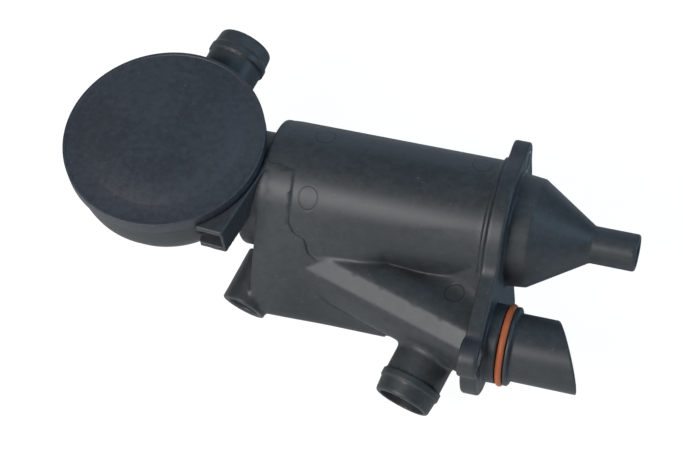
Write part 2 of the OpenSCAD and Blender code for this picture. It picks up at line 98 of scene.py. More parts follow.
# %% Camera
CAMERA_PLACE = Vector((0.1056, -0.3721, 0.6686))
CAMERA_RIGHT = Vector((0.958, 0.272, -0.091)).normalized()
CAMERA_UP = Vector((-0.192, 0.844, 0.501)).normalized()
LENS_MM = 116.0
SENSOR_MM = 36.0


def make_camera():
    back = CAMERA_RIGHT.cross(CAMERA_UP).normalized()
    up = back.cross(CAMERA_RIGHT)
    data = bpy.data.cameras.new("camera")
    data.lens = LENS_MM
    data.sensor_width = SENSOR_MM
    data.sensor_fit = "HORIZONTAL"
    camera = bpy.data.objects.new("camera", data)
    turn = Matrix((CAMERA_RIGHT, up, back)).transposed().to_4x4()
    camera.matrix_world = Matrix.Translation(CAMERA_PLACE) @ turn
    bpy.context.scene.collection.objects.link(camera)
    bpy.context.scene.camera = camera
    return camera


camera = make_camera()
print("camera", camera.name, "with a lens of", LENS_MM, "mm")

# %% [markdown]
# ## Sizes are read from the frame
# The mounts and the nodes' boxes give nearly every size that the skins need: where the ports are,
# how thick the spigot is, how far the drum reaches. Only the moulding's own small forms, such as fillets,
# are new numbers. They are in millimetres, which suit a part of this size.

# %% Sizes from the frame
MM = 0.001
mounts = {m["name"]: m for m in frame["record"]["mounts"]}


def node_box(node):
    low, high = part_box(node)
    return np.array(low) / MM, np.array(high) / MM


def mount_place(name):
    return np.array(mounts[name]["pos_m"]) / MM


def mount_axis(name):
    return np.array(mounts[name]["axis"])


def mount_r(name):
    return mounts[name]["dims"]["r_mm"]


def across(node):
    """The middle of a sleeve, as (y, z)."""
    low, high = node_box(node)
    return (low[1] + high[1]) / 2, (low[2] + high[2]) / 2


housing_low, housing_high = node_box("separator_housing")
cover_low, cover_high = node_box("end_cover")
drum_low, drum_high = node_box("valve_housing")
cap_low, cap_high = node_box("valve_cap")
ring_low, ring_high = node_box("port_ring")

WALL = 2.5
SLEEVE_WALL = 0.7
EAR, BOSS, LOW_EAR = across("sleeve_upper"), across("sleeve_lower"), across("sleeve_bottom")
SLEEVE_HOLE = mount_r("bottom_screw") + SLEEVE_WALL
BOSS_R = 6.7
FLANGE_T = -housing_high[0]

BARREL_R = 23.0
BARREL_END = -88.0
BARREL_ROUND = 5.5
END_WALL = 3.5
LIP_R = housing_high[1]

PORT = mount_place("sealed_port")
PASSAGE_R = 9.6
COLLAR_R = mount_r("sealed_port")
SPIGOT_R = mount_r("drain_spigot")
BEAD_R = mount_r("lower_nipple")
NECK_R = BEAD_R - 0.7

CAP_R = (cap_high[0] - cap_low[0]) / 2
DRUM = np.array([(cap_low[0] + cap_high[0]) / 2, (cap_low[1] + cap_high[1]) / 2])
DRUM_R = CAP_R - 2.0
RIM_GAP = 1.5
DRUM_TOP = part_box("diaphragm")[1].z / MM - RIM_GAP
DRUM_FLOOR = -11.5
LINK_R = 17.5
PLUG_R = 15.0
print("barrel", BARREL_R, "port at", PORT, "drum at", DRUM, "rim at", round(DRUM_TOP, 2))

# %% [markdown]
# ## Solids as distance fields
# A moulded part has no knife edges: every corner is rounded and every inner corner has a fillet.
# A bevel modifier handles a box, but not a pipe that runs slanting out of a wall. A distance field does.
# It is a function that says, for each point, how far the nearest surface is, negative inside.
# Joining two solids takes the smaller distance, cutting takes the larger, and a smooth version of either
# leaves a fillet. A grid of distances then becomes a mesh.

# %% Distance fields: basic forms
class Field:
    """A solid as a distance function of x, y and z in millimetres, with | to join and - to cut."""

    def __init__(self, at):
        self.at = at

    def join(self, other, fillet=0.0):
        return Field(lambda x, y, z: soft_min(self.at(x, y, z), other.at(x, y, z), fillet))

    def cut(self, other, fillet=0.0):
        return Field(lambda x, y, z: -soft_min(-self.at(x, y, z), other.at(x, y, z), fillet))

    def meet(self, other, fillet=0.0):
        return Field(lambda x, y, z: -soft_min(-self.at(x, y, z), -other.at(x, y, z), fillet))

    def grown(self, by):
        return Field(lambda x, y, z: self.at(x, y, z) - by)

    def __or__(self, other):
        return self.join(other)

    def __sub__(self, other):
        return self.cut(other)

    def __and__(self, other):
        return self.meet(other)


def soft_min(a, b, fillet):
    """The smaller of two distances, blended where they differ by less than the fillet's size."""
    if fillet <= 0:
        return np.minimum(a, b)
    blend = np.maximum(fillet - np.abs(a - b), 0.0) / fillet
    return np.minimum(a, b) - blend * blend * fillet * 0.25


def corner(a, b, edge=0.0):
    """Distance to a form whose section is a corner: a sideways and b lengthways, with a rounded edge."""
    a, b = a + edge, b + edge
    outside = np.hypot(np.maximum(a, 0.0), np.maximum(b, 0.0))
    return outside + np.minimum(np.maximum(a, b), 0.0) - edge


def rod(start, end, radius, edge=0.0):
    """A round bar between two points, with rounded ends of the given edge."""
    start, end = np.array(start, float), np.array(end, float)
    length = np.linalg.norm(end - start)
    axis = (end - start) / length

    def at(x, y, z):
        px, py, pz = x - start[0], y - start[1], z - start[2]
        along = px * axis[0] + py * axis[1] + pz * axis[2]
        aside = np.sqrt(np.maximum(px * px + py * py + pz * pz - along * along, 0.0))
        return corner(aside - radius, np.abs(along - length / 2) - length / 2, edge)

    return Field(at)


def turned(start, axis, profile):
    """A turned form: the profile lists (distance along the axis, radius) from one end to the other."""
    start, axis = np.array(start, float), np.array(axis, float)
    points = np.array(profile, float)
    closed = np.vstack([[points[0][0], 0.0], points, [points[-1][0], 0.0]])

    def at(x, y, z):
        px, py, pz = x - start[0], y - start[1], z - start[2]
        along = px * axis[0] + py * axis[1] + pz * axis[2]
        aside = np.sqrt(np.maximum(px * px + py * py + pz * pz - along * along, 0.0))
        return outline_distance(along, aside, closed)

    return Field(at)


def outline_distance(u, v, corners):
    """Signed distance to a polygon in the plane, negative inside. The last side closes it."""
    u, v = np.broadcast_arrays(u, v)
    nearest = np.full(u.shape, 1e9)
    inside = np.zeros(u.shape, bool)
    for (ua, va), (ub, vb) in zip(corners, np.roll(corners, -1, axis=0)):
        du, dv = ub - ua, vb - va
        share = np.clip(((u - ua) * du + (v - va) * dv) / (du * du + dv * dv), 0.0, 1.0)
        nearest = np.minimum(nearest, (u - ua - share * du) ** 2 + (v - va - share * dv) ** 2)
        crosses = (va > v) != (vb > v)
        if dv != 0:
            inside ^= crosses & (u < ua + (v - va) * du / dv)
    return np.where(inside, -1.0, 1.0) * np.sqrt(nearest)


def box_form(low, high, edge=0.0):
    low, high = np.array(low, float), np.array(high, float)
    middle, half = (low + high) / 2, (high - low) / 2

    def at(x, y, z):
        qx = np.abs(x - middle[0]) - half[0] + edge
        qy = np.abs(y - middle[1]) - half[1] + edge
        qz = np.abs(z - middle[2]) - half[2] + edge
        outside = np.sqrt(np.maximum(qx, 0.0) ** 2 + np.maximum(qy, 0.0) ** 2 + np.maximum(qz, 0.0) ** 2)
        return outside + np.minimum(np.maximum(qx, np.maximum(qy, qz)), 0.0) - edge

    return Field(at)


def half_space(point, normal):
    """All that lies behind a plane: the normal points out of the solid."""
    n = np.array(normal, float) / np.linalg.norm(normal)
    offset = float(np.dot(n, point))
    return Field(lambda x, y, z: x * n[0] + y * n[1] + z * n[2] - offset)


def plan_form(corners, low, high, edge=0.0):
    """An outline in plan, given as (x, y) corners, raised from low to high."""
    points = np.array(corners, float)
    middle, half = (low + high) / 2, (high - low) / 2
    return Field(lambda x, y, z: corner(outline_distance(x, y, points), np.abs(z - middle) - half, edge))


def section_form(distance, start, end, edge=0.0):
    """A section in (y, z), given by its distance function, run along x from start to end."""
    middle, half = (start + end) / 2, (end - start) / 2
    return Field(lambda x, y, z: corner(distance(y, z), np.abs(x - middle) - half, edge))


def disc(y, z, radius):
    return lambda u, v: np.hypot(u - y, v - z) - radius


def pill_distance(u, v, a, b, radius_a, radius_b):
    """Distance to two circles of different radius with their common tangents. The centre b may vary."""
    run_u, run_v = b[0] - a[0], b[1] - a[1]
    span = np.hypot(run_u, run_v)
    along_u, along_v = run_u / span, run_v / span
    slope = (radius_a - radius_b) / span
    fall = np.sqrt(1 - slope * slope)
    s = (u - a[0]) * along_u + (v - a[1]) * along_v
    t = np.abs(-(u - a[0]) * along_v + (v - a[1]) * along_u)
    k = -slope * t + fall * s
    side = t * fall + s * slope - radius_a
    near_a = np.hypot(s, t) - radius_a
    near_b = np.hypot(s - span, t) - radius_b
    return np.where(k < 0, near_a, np.where(k > fall * span, near_b, side))


def pill(a, b, radius_a, radius_b):
    return lambda u, v: pill_distance(u, v, a, b, radius_a, radius_b)


print("forms: rod, turned, box_form, half_space, plan_form, section_form, disc and pill")

# %% [markdown]
# ## From a grid of distances to a mesh
# The grid is turned into polygons where the distance passes through zero. Two refinements make the skin
# smooth: each point slides along the field's slope until it lies on the surface, and the slope itself,
# which is the true surface direction, becomes the shading normal.

# %% Mesh from a field
def sample(grid, where):
    """Values of a grid between its points, at places given in grid steps."""
    cell = np.clip(np.floor(where).astype(int), 0, np.array(grid.shape[:3]) - 2)
    f = where - cell
    total = 0.0
    for dx in (0, 1):
        for dy in (0, 1):
            for dz in (0, 1):
                share = np.abs(1 - dx - f[:, 0]) * np.abs(1 - dy - f[:, 1]) * np.abs(1 - dz - f[:, 2])
                value = grid[cell[:, 0] + dx, cell[:, 1] + dy, cell[:, 2] + dz]
                total = total + (share[:, None] * value if value.ndim == 2 else share * value)
    return total


def add_object(name, points_mm, faces, normals=None):
    mesh = bpy.data.meshes.new(name)
    mesh.from_pydata((np.asarray(points_mm) * MM).tolist(), [], faces)
    mesh.validate()
    for polygon in mesh.polygons:
        polygon.use_smooth = True
    if normals is not None and len(normals) == len(mesh.vertices):
        mesh.normals_split_custom_set_from_vertices(normals.tolist())
    made = bpy.data.objects.new(name, mesh)
    bpy.context.scene.collection.objects.link(made)
    return made


def skin(name, field, low, high, step, merge=0.0):
    """Meshes a field on a grid with a point every step millimetres, and merges faces where it is flat."""
    low = np.array(low, float) - 2.5 * step
    high = np.array(high, float) + 2.5 * step
    counts = np.ceil((high - low) / step).astype(int) + 1
    x, y, z = (low[i] + step * np.arange(counts[i], dtype=np.float32) for i in range(3))
    values = field.at(x[:, None, None], y[None, :, None], z[None, None, :])
    values = np.ascontiguousarray(np.broadcast_to(values, counts), dtype=np.float32)
    grid = openvdb.FloatGrid(1.0e3)
    grid.copyFromArray(values)
    points, triangles, quads = grid.convertToPolygons(isovalue=0.0, adaptivity=merge)
    slope = np.stack(np.gradient(values, step), axis=-1)
    points = points.astype(float)
    for _ in range(2):
        normal = sample(slope, points)
        normal /= np.maximum(np.linalg.norm(normal, axis=1, keepdims=True), 1e-6)
        shift = np.clip(sample(values, points), -0.5 * step, 0.5 * step)
        points -= normal * shift[:, None] / step
    corners = quads if len(quads) else triangles
    a, b, c = (points[corners[:, i]] for i in range(3))
    outward = np.einsum("ij,ij->i", np.cross(b - a, c - a), normal[corners[:, 0]]).sum()
    if outward < 0:
        quads, triangles = quads[:, ::-1], triangles[:, ::-1]
    made = add_object(name, points * step + low, quads.tolist() + triangles.tolist(), normal)
    print(f"{name}: {len(points)} points, {2 * len(quads) + len(triangles)} triangles")
    return made


print("skin() turns a field into a mesh")

# %% [markdown]
# ## The hose nipples
# Both nipples are the same turned form: a neck, a bead that bites into the hose, and a nose that tapers
# to a rounded mouth. The bead's rear edge is a step that stops the hose from sliding back off.

# %% Nipple
NIPPLE_BORE = 8.4


def nipple(mount, root):
    """The outer form of a nipple, from root millimetres behind its bead."""
    start = mount_place(mount) - mount_axis(mount) * root
    profile = [(0, NECK_R), (root - 1.5, NECK_R), (root - 1.5, BEAD_R), (root + 1.2, BEAD_R),
               (root + 1.5, BEAD_R - 0.5), (root + 6.2, NECK_R - 0.2), (root + 6.8, NECK_R - 0.5),
               (root + 7.0, NECK_R - 1.0)]
    return turned(start, mount_axis(mount), profile)


def nipple_bore(mount, behind, ahead):
    """A nipple's bore, from so far behind its bead to so far ahead of it."""
    middle, axis = mount_place(mount), mount_axis(mount)
    return rod(middle - axis * behind, middle + axis * ahead, NIPPLE_BORE)


low_nipple = nipple("lower_nipple", 27.0)
low_bore = nipple_bore("lower_nipple", 24.5, 9.0)
up_nipple = nipple("upper_nipple", 26.0)
up_bore = nipple_bore("upper_nipple", 22.5, 37.5)
print("nipples at", mount_place("lower_nipple"), mount_place("upper_nipple"))

# %% [markdown]
# ## The separator housing
# The barrel, the teardrop block beside it, the wrap over its closed end and the slanting channel are one
# moulding. The channel stands out of a hollow between itself and the barrel, and has two flats along its
# crest where the mould's halves were matched.

# %% Housing: barrel and block
BLOCK_EDGE_END = (-35.2, -19.0)
BLOCK_EDGE_CHANNEL = (-32.3, -24.0)
BLOCK_EDGE_R = 6.3
SINK_FROM = -82.0
SINK_LENGTH = 24.0

behind_flange = half_space((-FLANGE_T, 0, 0), (1, 0, 0))
barrel = rod((BARREL_END, 0, 0), (10, 0, 0), BARREL_R, BARREL_ROUND) & behind_flange


def block_form(raised, start, end, edge):
    """Barrel and block in one section. The block's far edge sinks from the closed end to the channel."""
    middle, half = (start + end) / 2, (end - start) / 2

    def at(x, y, z):
        share = np.clip((x - SINK_FROM) / SINK_LENGTH, 0.0, 1.0)
        share = share * share * (3 - 2 * share)
        far = [p + (q - p) * share for p, q in zip(BLOCK_EDGE_END, BLOCK_EDGE_CHANNEL)]
        section = pill_distance(y, z, (0.0, 0.0), far, BARREL_R + raised, BLOCK_EDGE_R + raised)
        return corner(section, np.abs(x - middle) - half, edge)

    return Field(at)


block = block_form(-0.1, BARREL_END, 10, 1.0) & behind_flange
print("barrel and block defined")

# %% Housing: wrap and bulge
WRAP_HEIGHT = 0.5
WRAP_PAST = -95.5
WRAP_EDGE = [(-110, -5.0), (-83.8, -5.5), (-76.8, -6.5), (-76.0, -15), (-75.9, -21), (-74, -22.8),
             (-69.8, -23.8), (-68.3, -26.5), (-63.4, -27.7), (-56.9, -29.2), (-40, -38), (-22, -48),
             (-22, -60), (-110, -60)]
BULGE_SIDE = -9.0
BULGE_TOP = 6.0
BULGE_UNDER = 1.5

drum_room = turned((*DRUM, DRUM_FLOOR - 30), (0, 0, 1), [
    (0, 19.3), (29.7, 19.3), (42.5, DRUM_R - 3.7), (51.5, DRUM_R + 0.3), (80, DRUM_R + 0.3)])


def wrap_form():
    """The raised field over the closed end: its right edge runs down, then slants along the block."""
    raised = block_form(WRAP_HEIGHT, BARREL_END, -22, 0.8)
    return raised.meet(plan_form(WRAP_EDGE, -40, 40, 0.2), 0.2)


def duct_bulge():
    """The wrap past the barrel's end: full height beside the lug, and low under the drum."""
    body = rod((WRAP_PAST, 0, 0), (BARREL_END + 4, 0, 0), BARREL_R + WRAP_HEIGHT, 2.0)
    beside = body & half_space((0, BULGE_SIDE, 0), (0, 1, 0))
    under = body & half_space((0, 0, BULGE_TOP), (0, 0, 1)) & half_space((0, BULGE_UNDER, 0), (0, 1, 0))
    link_room = rod((WRAP_PAST - 5, 0, 0), (BARREL_END - 0.01, 0, 0), LINK_R + 0.3)
    return (beside | under) - drum_room - link_room


print("wrap of", WRAP_HEIGHT, "mm and bulge defined")

# %% Housing: channel and hollow
SLOPE = math.radians(17.0)
CHANNEL_R = 13.0
CHANNEL_REACH = 70
PASSAGE_LEN = 58
CHANNEL_FROM = np.array([-FLANGE_T, PORT[1], PORT[2]])
CHANNEL_DIR = np.array([-math.cos(SLOPE), math.sin(SLOPE), 0.0])
CHANNEL_SIDE = np.array([-math.sin(SLOPE), -math.cos(SLOPE), 0.0])
# Each flat's lean in degrees, its depth and its rounding
CHANNEL_FLATS = [(34, 0.38, 0.15), (80, 0.35, 0.4)]
HOLLOW_FLOOR = -8.5
HOLLOW_PLAN = [(-58, -27), (-50, -26.4), (-42, -23.5), (-34, -18), (-2, -14), (-2, -50), (-28, -43),
               (-44, -32)]


def channel_flat(lean, depth):
    """A plane along the channel whose normal leans from straight up towards its outer side."""
    angle = math.radians(lean)
    normal = np.array([0, 0, math.cos(angle)]) + CHANNEL_SIDE * math.sin(angle)
    return half_space(CHANNEL_FROM + normal * (CHANNEL_R - depth), normal)


def channel_form():
    tube = rod(CHANNEL_FROM - CHANNEL_DIR * 20, CHANNEL_FROM + CHANNEL_DIR * CHANNEL_REACH, CHANNEL_R, 6.0)
    for lean, depth, edge in CHANNEL_FLATS:
        tube = tube.meet(channel_flat(lean, depth), edge)
    return tube & behind_flange


def ramp_form():
    """The hollow's floor climbs to the flange, sooner beside the barrel than beside the channel."""
    slope = half_space((-7.3, -21.4, 8.5), (-0.62, -0.85, 1.0))
    return box_form((-30, -44, -25), (-FLANGE_T, -8, 12)).meet(slope, 0.5)


print("channel of", PASSAGE_LEN, "mm and hollow defined")

# %% Housing: small port and the whole moulding
SMALL_PORT_R = 8.2
SMALL_PORT_LEN = 20


def small_port():
    """The small port as (outer form, recess with a flared mouth)."""
    axis = mount_axis("small_port")
    depth = mounts["small_port"]["dims"]["length_mm"]
    mouth = mount_place("small_port") + axis * depth / 2
    outer = rod(mouth - axis * SMALL_PORT_LEN, mouth, SMALL_PORT_R, 0.6)
    recess = rod(mouth - axis * 2 * depth, mouth + axis * 3, mount_r("small_port"))
    flare = turned(mouth - axis * 0.7, axis, [(0, 5.5), (0.7, 6.2), (3, 8.0)])
    return outer, recess | flare


def housing_field():
    port_outer, port_recess = small_port()
    lip = rod((-FLANGE_T - 1.6, 0, 0), (-FLANGE_T, 0, 0), LIP_R, 0.3)
    shell = block.cut(plan_form(HOLLOW_PLAN, HOLLOW_FLOOR, 40, 2.0), 2.5)
    for form, fillet in ((channel_form(), 1.4), (ramp_form(), 6.0), (barrel, 0.7), (wrap_form(), 0.15),
                         (duct_bulge(), 0.8), (port_outer, 1.2), (low_nipple, 2.0), (lip, 1.0)):
        shell = shell.join(form, fillet)
    boss_room = rod((cover_low[0] - 0.3, *BOSS), (0, *BOSS), BOSS_R + 0.3)
    chamber = rod((BARREL_END + END_WALL, 0, 0), (0, 0, 0), BARREL_R - WALL)
    plug_hole = rod((BARREL_END - 12, 0, 0), (BARREL_END + 5, 0, 0), PLUG_R + 0.05)
    passage = rod(CHANNEL_FROM - CHANNEL_DIR * 10, CHANNEL_FROM + CHANNEL_DIR * PASSAGE_LEN, PASSAGE_R)
    shell = (shell - boss_room) & behind_flange
    return shell - chamber - plug_hole - passage - low_bore - port_recess


housing = skin("housing_skin", housing_field(), housing_low, housing_high, 0.42, 0.02)

# %% [markdown]
# ## The end cover
# The cover closes the barrel and carries everything that meets the engine: the flange with its two ears and
# its boss, the drain cone and the sealed port. The port's tube is cut off slanting.

# %% Flange
FLANGE_R = 26.0
EAR_R = 6.8
LOBE_R = 18.5


def flange_distance(y, z):
    ring = disc(0, 0, FLANGE_R)(y, z)
    ear = pill((0, 0), EAR, 16.2, EAR_R)(y, z)
    lobe = pill((-6, -4), (PORT[1] - 1, PORT[2] + 0.5), LOBE_R, LOBE_R - 0.001)(y, z)
    boss = pill((PORT[1], PORT[2]), BOSS, BOSS_R, BOSS_R - 0.5)(y, z)
    low_ear = pill((-14, -16), LOW_EAR, 9.2, EAR_R)(y, z)
    body = soft_min(soft_min(ring, ear, 5.0), lobe, 3.0)
    return soft_min(soft_min(body, boss, 2.0), low_ear, 3.0)


print("flange with its screws at", EAR, BOSS, LOW_EAR)

# %% Cover
GROOVE_R = 12.1
PORT_TUBE_R = 12.0
PORT_TUBE_END = 27.6
CUT_ANGLE = math.radians(26)
CONE_R = 20.2
CONE_LEN = 27.5
FUNNEL_R = 17.5
DRAIN_R = 4.8


def cone_form():
    tip = cover_high[0]
    return turned((-1, 0, 0), (1, 0, 0), [
        (0, CONE_R), (8.5, CONE_R - 0.9), (CONE_LEN + 1, SPIGOT_R), (tip + 0.2, SPIGOT_R),
        (tip + 0.8, SPIGOT_R - 0.4), (tip + 1, SPIGOT_R - 1)])


def port_form():
    """The collar with the ring's groove, and the tube with its slanting end."""
    groove_from, groove_to = ring_low[0] + 0.7, ring_high[0] + 1.3
    end = PORT[0] + 1.5
    tube = turned((-1, PORT[1], PORT[2]), (1, 0, 0), [
        (0, COLLAR_R), (groove_from, COLLAR_R), (groove_from, GROOVE_R), (groove_to, GROOVE_R),
        (groove_to, COLLAR_R), (end - 0.4, COLLAR_R), (end, COLLAR_R - 0.4), (end, PORT_TUBE_R),
        (60, PORT_TUBE_R)])
    slant = half_space((PORT_TUBE_END, PORT[1], PORT[2]), (math.cos(CUT_ANGLE), math.sin(CUT_ANGLE), 0))
    return tube.meet(slant, 0.5)


def cover_field():
    flange = section_form(flange_distance, -FLANGE_T, 0, 0.8)
    flange = flange.join(rod((cover_low[0], *BOSS), (0, *BOSS), BOSS_R, 0.7), 0.8)
    body = flange.join(cone_form(), 0.6).join(port_form(), 0.6)
    funnel = turned((-10, 0, 0), (1, 0, 0), [
        (0, FUNNEL_R), (11, FUNNEL_R), (CONE_LEN + 8, DRAIN_R), (80, DRAIN_R)])
    mouth = turned((cover_high[0] - 0.8, 0, 0), (1, 0, 0), [(0, DRAIN_R), (1.2, 5.6), (3, 7)])
    body = body - funnel - mouth - rod((-20, PORT[1], PORT[2]), (60, PORT[1], PORT[2]), PASSAGE_R)
    for hole in (EAR, BOSS, LOW_EAR):
        body = body - rod((-20, *hole), (20, *hole), SLEEVE_HOLE)
    return body


cover = skin("cover_skin", cover_field(), cover_low, cover_high, 0.45, 0.005)

# %% [markdown]
# ## The valve housing
# The drum is a bowl with a straight wall. A neck joins it to the barrel, a lug with a slot stiffens
# the corner between them, and the upper nipple stands out of its side.

# %% Lug
LUG_TOP = drum_high[2]
LUG_LOW = 9.5
LUG_PLATE = 2.4
LUG_REACH = 36.0
LUG_PLAN = [(-94, -LUG_REACH - 0.6), (-88, -12), (-85.3, -4.6), (-93, -1), (-112, -10), (-103.6, -LUG_REACH)]
SLOT_PLAN = [(-96.2, -LUG_REACH - 6), (-90.0, -12), (-93, -8), (-110, -12), (-112, -LUG_REACH - 6)]


def lug_field():
    """A plate with a slot, cut where the barrel, the duct's bulge and the cap need their room."""
    body = plan_form(LUG_PLAN, LUG_LOW, LUG_TOP, 0.4)
    body = body - plan_form(SLOT_PLAN, LUG_LOW + LUG_PLATE, LUG_TOP - LUG_PLATE)
    barrel_room = rod((BARREL_END - 0.4, 0, 0), (20, 0, 0), BARREL_R + WRAP_HEIGHT + 0.3, BARREL_ROUND)
    cap_room = rod((*DRUM, DRUM_TOP - 2), (*DRUM, 60), CAP_R + 0.3)
    return body - barrel_room - duct_bulge().grown(0.2) - cap_room


print("lug reaches", LUG_REACH, "mm across")

# %% Drum
DRUM_KNEE = 10.0
DUCT_R = 7.5
DUCT_BORE_R = 5.5
DUCT_SHOWN = 21
DUCT_FROM = np.array([-84.0, -29.25, -9.5])
DUCT_TO = np.array([*DRUM, DUCT_FROM[2]])
LEDGE_R = 15.0
LEDGE_TOP = 7.5
SEAT_R = 8.4
SEAT_BORE_R = 6.2
SEAT_TOP = 11.5


def drum_shell():
    """The bowl with its neck, its plug, the upper nipple and the lug, still without a duct and a seat."""
    at = (*DRUM, DRUM_FLOOR)
    outer = turned(at, (0, 0, 1), [
        (0, 16.5), (0.8, 18.6), (13.0, DRUM_R - 3.6), (15.5, DRUM_R - 2.5), (18.5, DRUM_R - 0.9),
        (DRUM_KNEE - DRUM_FLOOR, DRUM_R - 0.25), (24.5, DRUM_R), (DRUM_TOP - DRUM_FLOOR, DRUM_R)])
    inner = turned(at, (0, 0, 1), [
        (WALL, 18), (13.1, DRUM_R - 6.7), (21.8, DRUM_R - WALL), (60, DRUM_R - WALL)])
    neck = rod((DRUM[0] + 15, 0, 0), (BARREL_END - 0.2, 0, 0), LINK_R)
    plug = rod((DRUM[0] + 15, 0, 0), (BARREL_END + END_WALL, 0, 0), PLUG_R)
    shell = outer.join(neck, 1.6) | plug
    return (shell.join(up_nipple, 1.6) | lug_field()) - inner


def drum_field():
    toward = (DUCT_TO - DUCT_FROM) / np.linalg.norm(DUCT_TO - DUCT_FROM)
    duct = rod(DUCT_TO - toward * DUCT_SHOWN, DUCT_TO + toward, DUCT_R)
    ledge = rod((*DRUM, DRUM_FLOOR + 1), (*DRUM, LEDGE_TOP), LEDGE_R)
    seat = rod((*DRUM, -16), (*DRUM, SEAT_TOP), SEAT_R, 0.5)
    seat_bore = rod((*DRUM, DUCT_FROM[2]), (*DRUM, 20), SEAT_BORE_R)
    duct_bore = rod(DUCT_FROM, DUCT_TO, DUCT_BORE_R)
    link_bore = rod((DRUM[0] + 22, 0, 0), (BARREL_END + 10, 0, 0), 11.5)
    shell = drum_shell().join(duct, 1.0) | ledge | seat
    return shell - seat_bore - duct_bore - link_bore - up_bore


drum = skin("drum_skin", drum_field(), drum_low, drum_high, 0.5, 0.005)

# %% [markdown]
# ## The cap
# The cap is a turned part, so a lathe suits it best: a profile is spun round the drum's axis. The profile
# is drawn with short curves at its corners, so that the thin rim and the foot of the dome catch light.

# %% Lathe
def rounded(corners, radii, parts=5):
    """A profile with each inner corner replaced by a short curve of about that radius."""
    points = [np.array(corners[0], float)]
    for before, here, after, radius in zip(corners, corners[1:], corners[2:], radii):
        before, here, after = (np.array(p, float) for p in (before, here, after))
        to_a, to_b = before - here, after - here
        reach = min(radius, 0.45 * np.linalg.norm(to_a), 0.45 * np.linalg.norm(to_b))
        a = here + to_a / np.linalg.norm(to_a) * reach
        b = here + to_b / np.linalg.norm(to_b) * reach
        for i in range(parts + 1):
            t = i / parts
            points.append((1 - t) ** 2 * a + 2 * t * (1 - t) * here + t * t * b)
    points.append(np.array(corners[-1], float))
    return points


def lathe(name, profile, centre, turns=240):
    """Spins a profile of (radius, height), whose two ends lie on the axis, round a vertical axis."""
    inner = profile[1:-1]
    angles = np.linspace(0, 2 * math.pi, turns, endpoint=False)
    points = [(centre[0] + r * math.cos(a), centre[1] + r * math.sin(a), h)
              for r, h in inner for a in angles]
    faces = []
    for row in range(len(inner) - 1):
        for i in range(turns):
            j = (i + 1) % turns
            faces.append((row * turns + i, row * turns + j, (row + 1) * turns + j, (row + 1) * turns + i))
    first, last = len(points), len(points) + 1
    points += [(*centre, profile[0][1]), (*centre, profile[-1][1])]
    top = (len(inner) - 1) * turns
    for i in range(turns):
        j = (i + 1) % turns
        faces.append((first, j, i))
        faces.append((last, top + i, top + j))
    made = add_object(name, points, faces)
    print(f"{name}: {len(points)} points, {len(faces)} faces")
    return made


print("lathe() spins a profile into a mesh")

# %% Cap
CAP_UNDER = DRUM_TOP + RIM_GAP
CAP_TOP = CAP_UNDER + 3.0
CAP_BAND = CAP_TOP - 0.3
SKIRT_LOW = CAP_UNDER - 2.0
SKIRT_IN = DRUM_R + 0.15
STOP_IN, STOP_OUT, STOP_LOW = 10, 12, cap_low[2]
DOME_R = 28.0
DOME_H = 1.9
# The share of its radius over which the dome rises, and how soon it levels out
DOME_RISE = 0.5
DOME_POWER = 2.3


def dome_height(share):
    """Height of the dome at a share of the way from its edge to its middle."""
    return DOME_H * (1 - (1 - min(1, share / DOME_RISE)) ** DOME_POWER)


def cap_profile():
    dome = [(DOME_R * (1 - t), CAP_BAND + dome_height(t)) for t in np.linspace(0, 1, 61)]
    corners = [(0, CAP_UNDER), (STOP_IN, CAP_UNDER), (STOP_IN, STOP_LOW), (STOP_OUT, STOP_LOW),
               (STOP_OUT, CAP_UNDER), (SKIRT_IN, CAP_UNDER), (SKIRT_IN, SKIRT_LOW), (CAP_R, SKIRT_LOW),
               (CAP_R, CAP_TOP), (CAP_R - 1.1, CAP_TOP), (CAP_R - 1.3, CAP_BAND)]
    radii = [0.3, 0.3, 0.3, 0.3, 0.2, 0.2, 0.3, 0.45, 0.3, 0.15]
    return rounded([*corners, dome[0]], radii) + [np.array(p) for p in dome[1:]]


cap = lathe("cap_skin", cap_profile(), DRUM)

# %% [markdown]
# ## Diaphragm and spring
# One piece changes its form when the valve moves. The diaphragm's rim is clamped under the cap, while its
# middle sits on the plate, so the fold between them rolls. The spring stands on the ledge.

# %% Diaphragm and spring
PLATE_R = 19.0
PLATE_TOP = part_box("diaphragm_plate")[1].z / MM
FOLD_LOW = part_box("diaphragm")[0].z / MM
FOLD_R = (DRUM_R - WALL + PLATE_R) / 2
RUBBER_T = 0.8
SPRING_R = 13.0
SPRING_WIRE_R = 0.6


def diaphragm_profile():
    below = [(0, PLATE_TOP), (PLATE_R, PLATE_TOP), (PLATE_R + 1, PLATE_TOP - 1.5), (FOLD_R - 1, FOLD_LOW),
             (FOLD_R + 2, FOLD_LOW), (DRUM_R - 3.5, DRUM_TOP), (DRUM_R - 0.15, DRUM_TOP)]
    above = [(DRUM_R - 0.15, CAP_UNDER), (DRUM_R - 4.1, CAP_UNDER), (FOLD_R + 1.6, FOLD_LOW + RUBBER_T),
             (FOLD_R - 0.6, FOLD_LOW + RUBBER_T), (PLATE_R + 1.6, PLATE_TOP + RUBBER_T),
             (0, PLATE_TOP + RUBBER_T)]
    return rounded(below + above, [0.8, 0.8, 1.2, 1.2, 0.8, 0.1, 0.1, 1.5, 1.5, 1.5, 1.5])


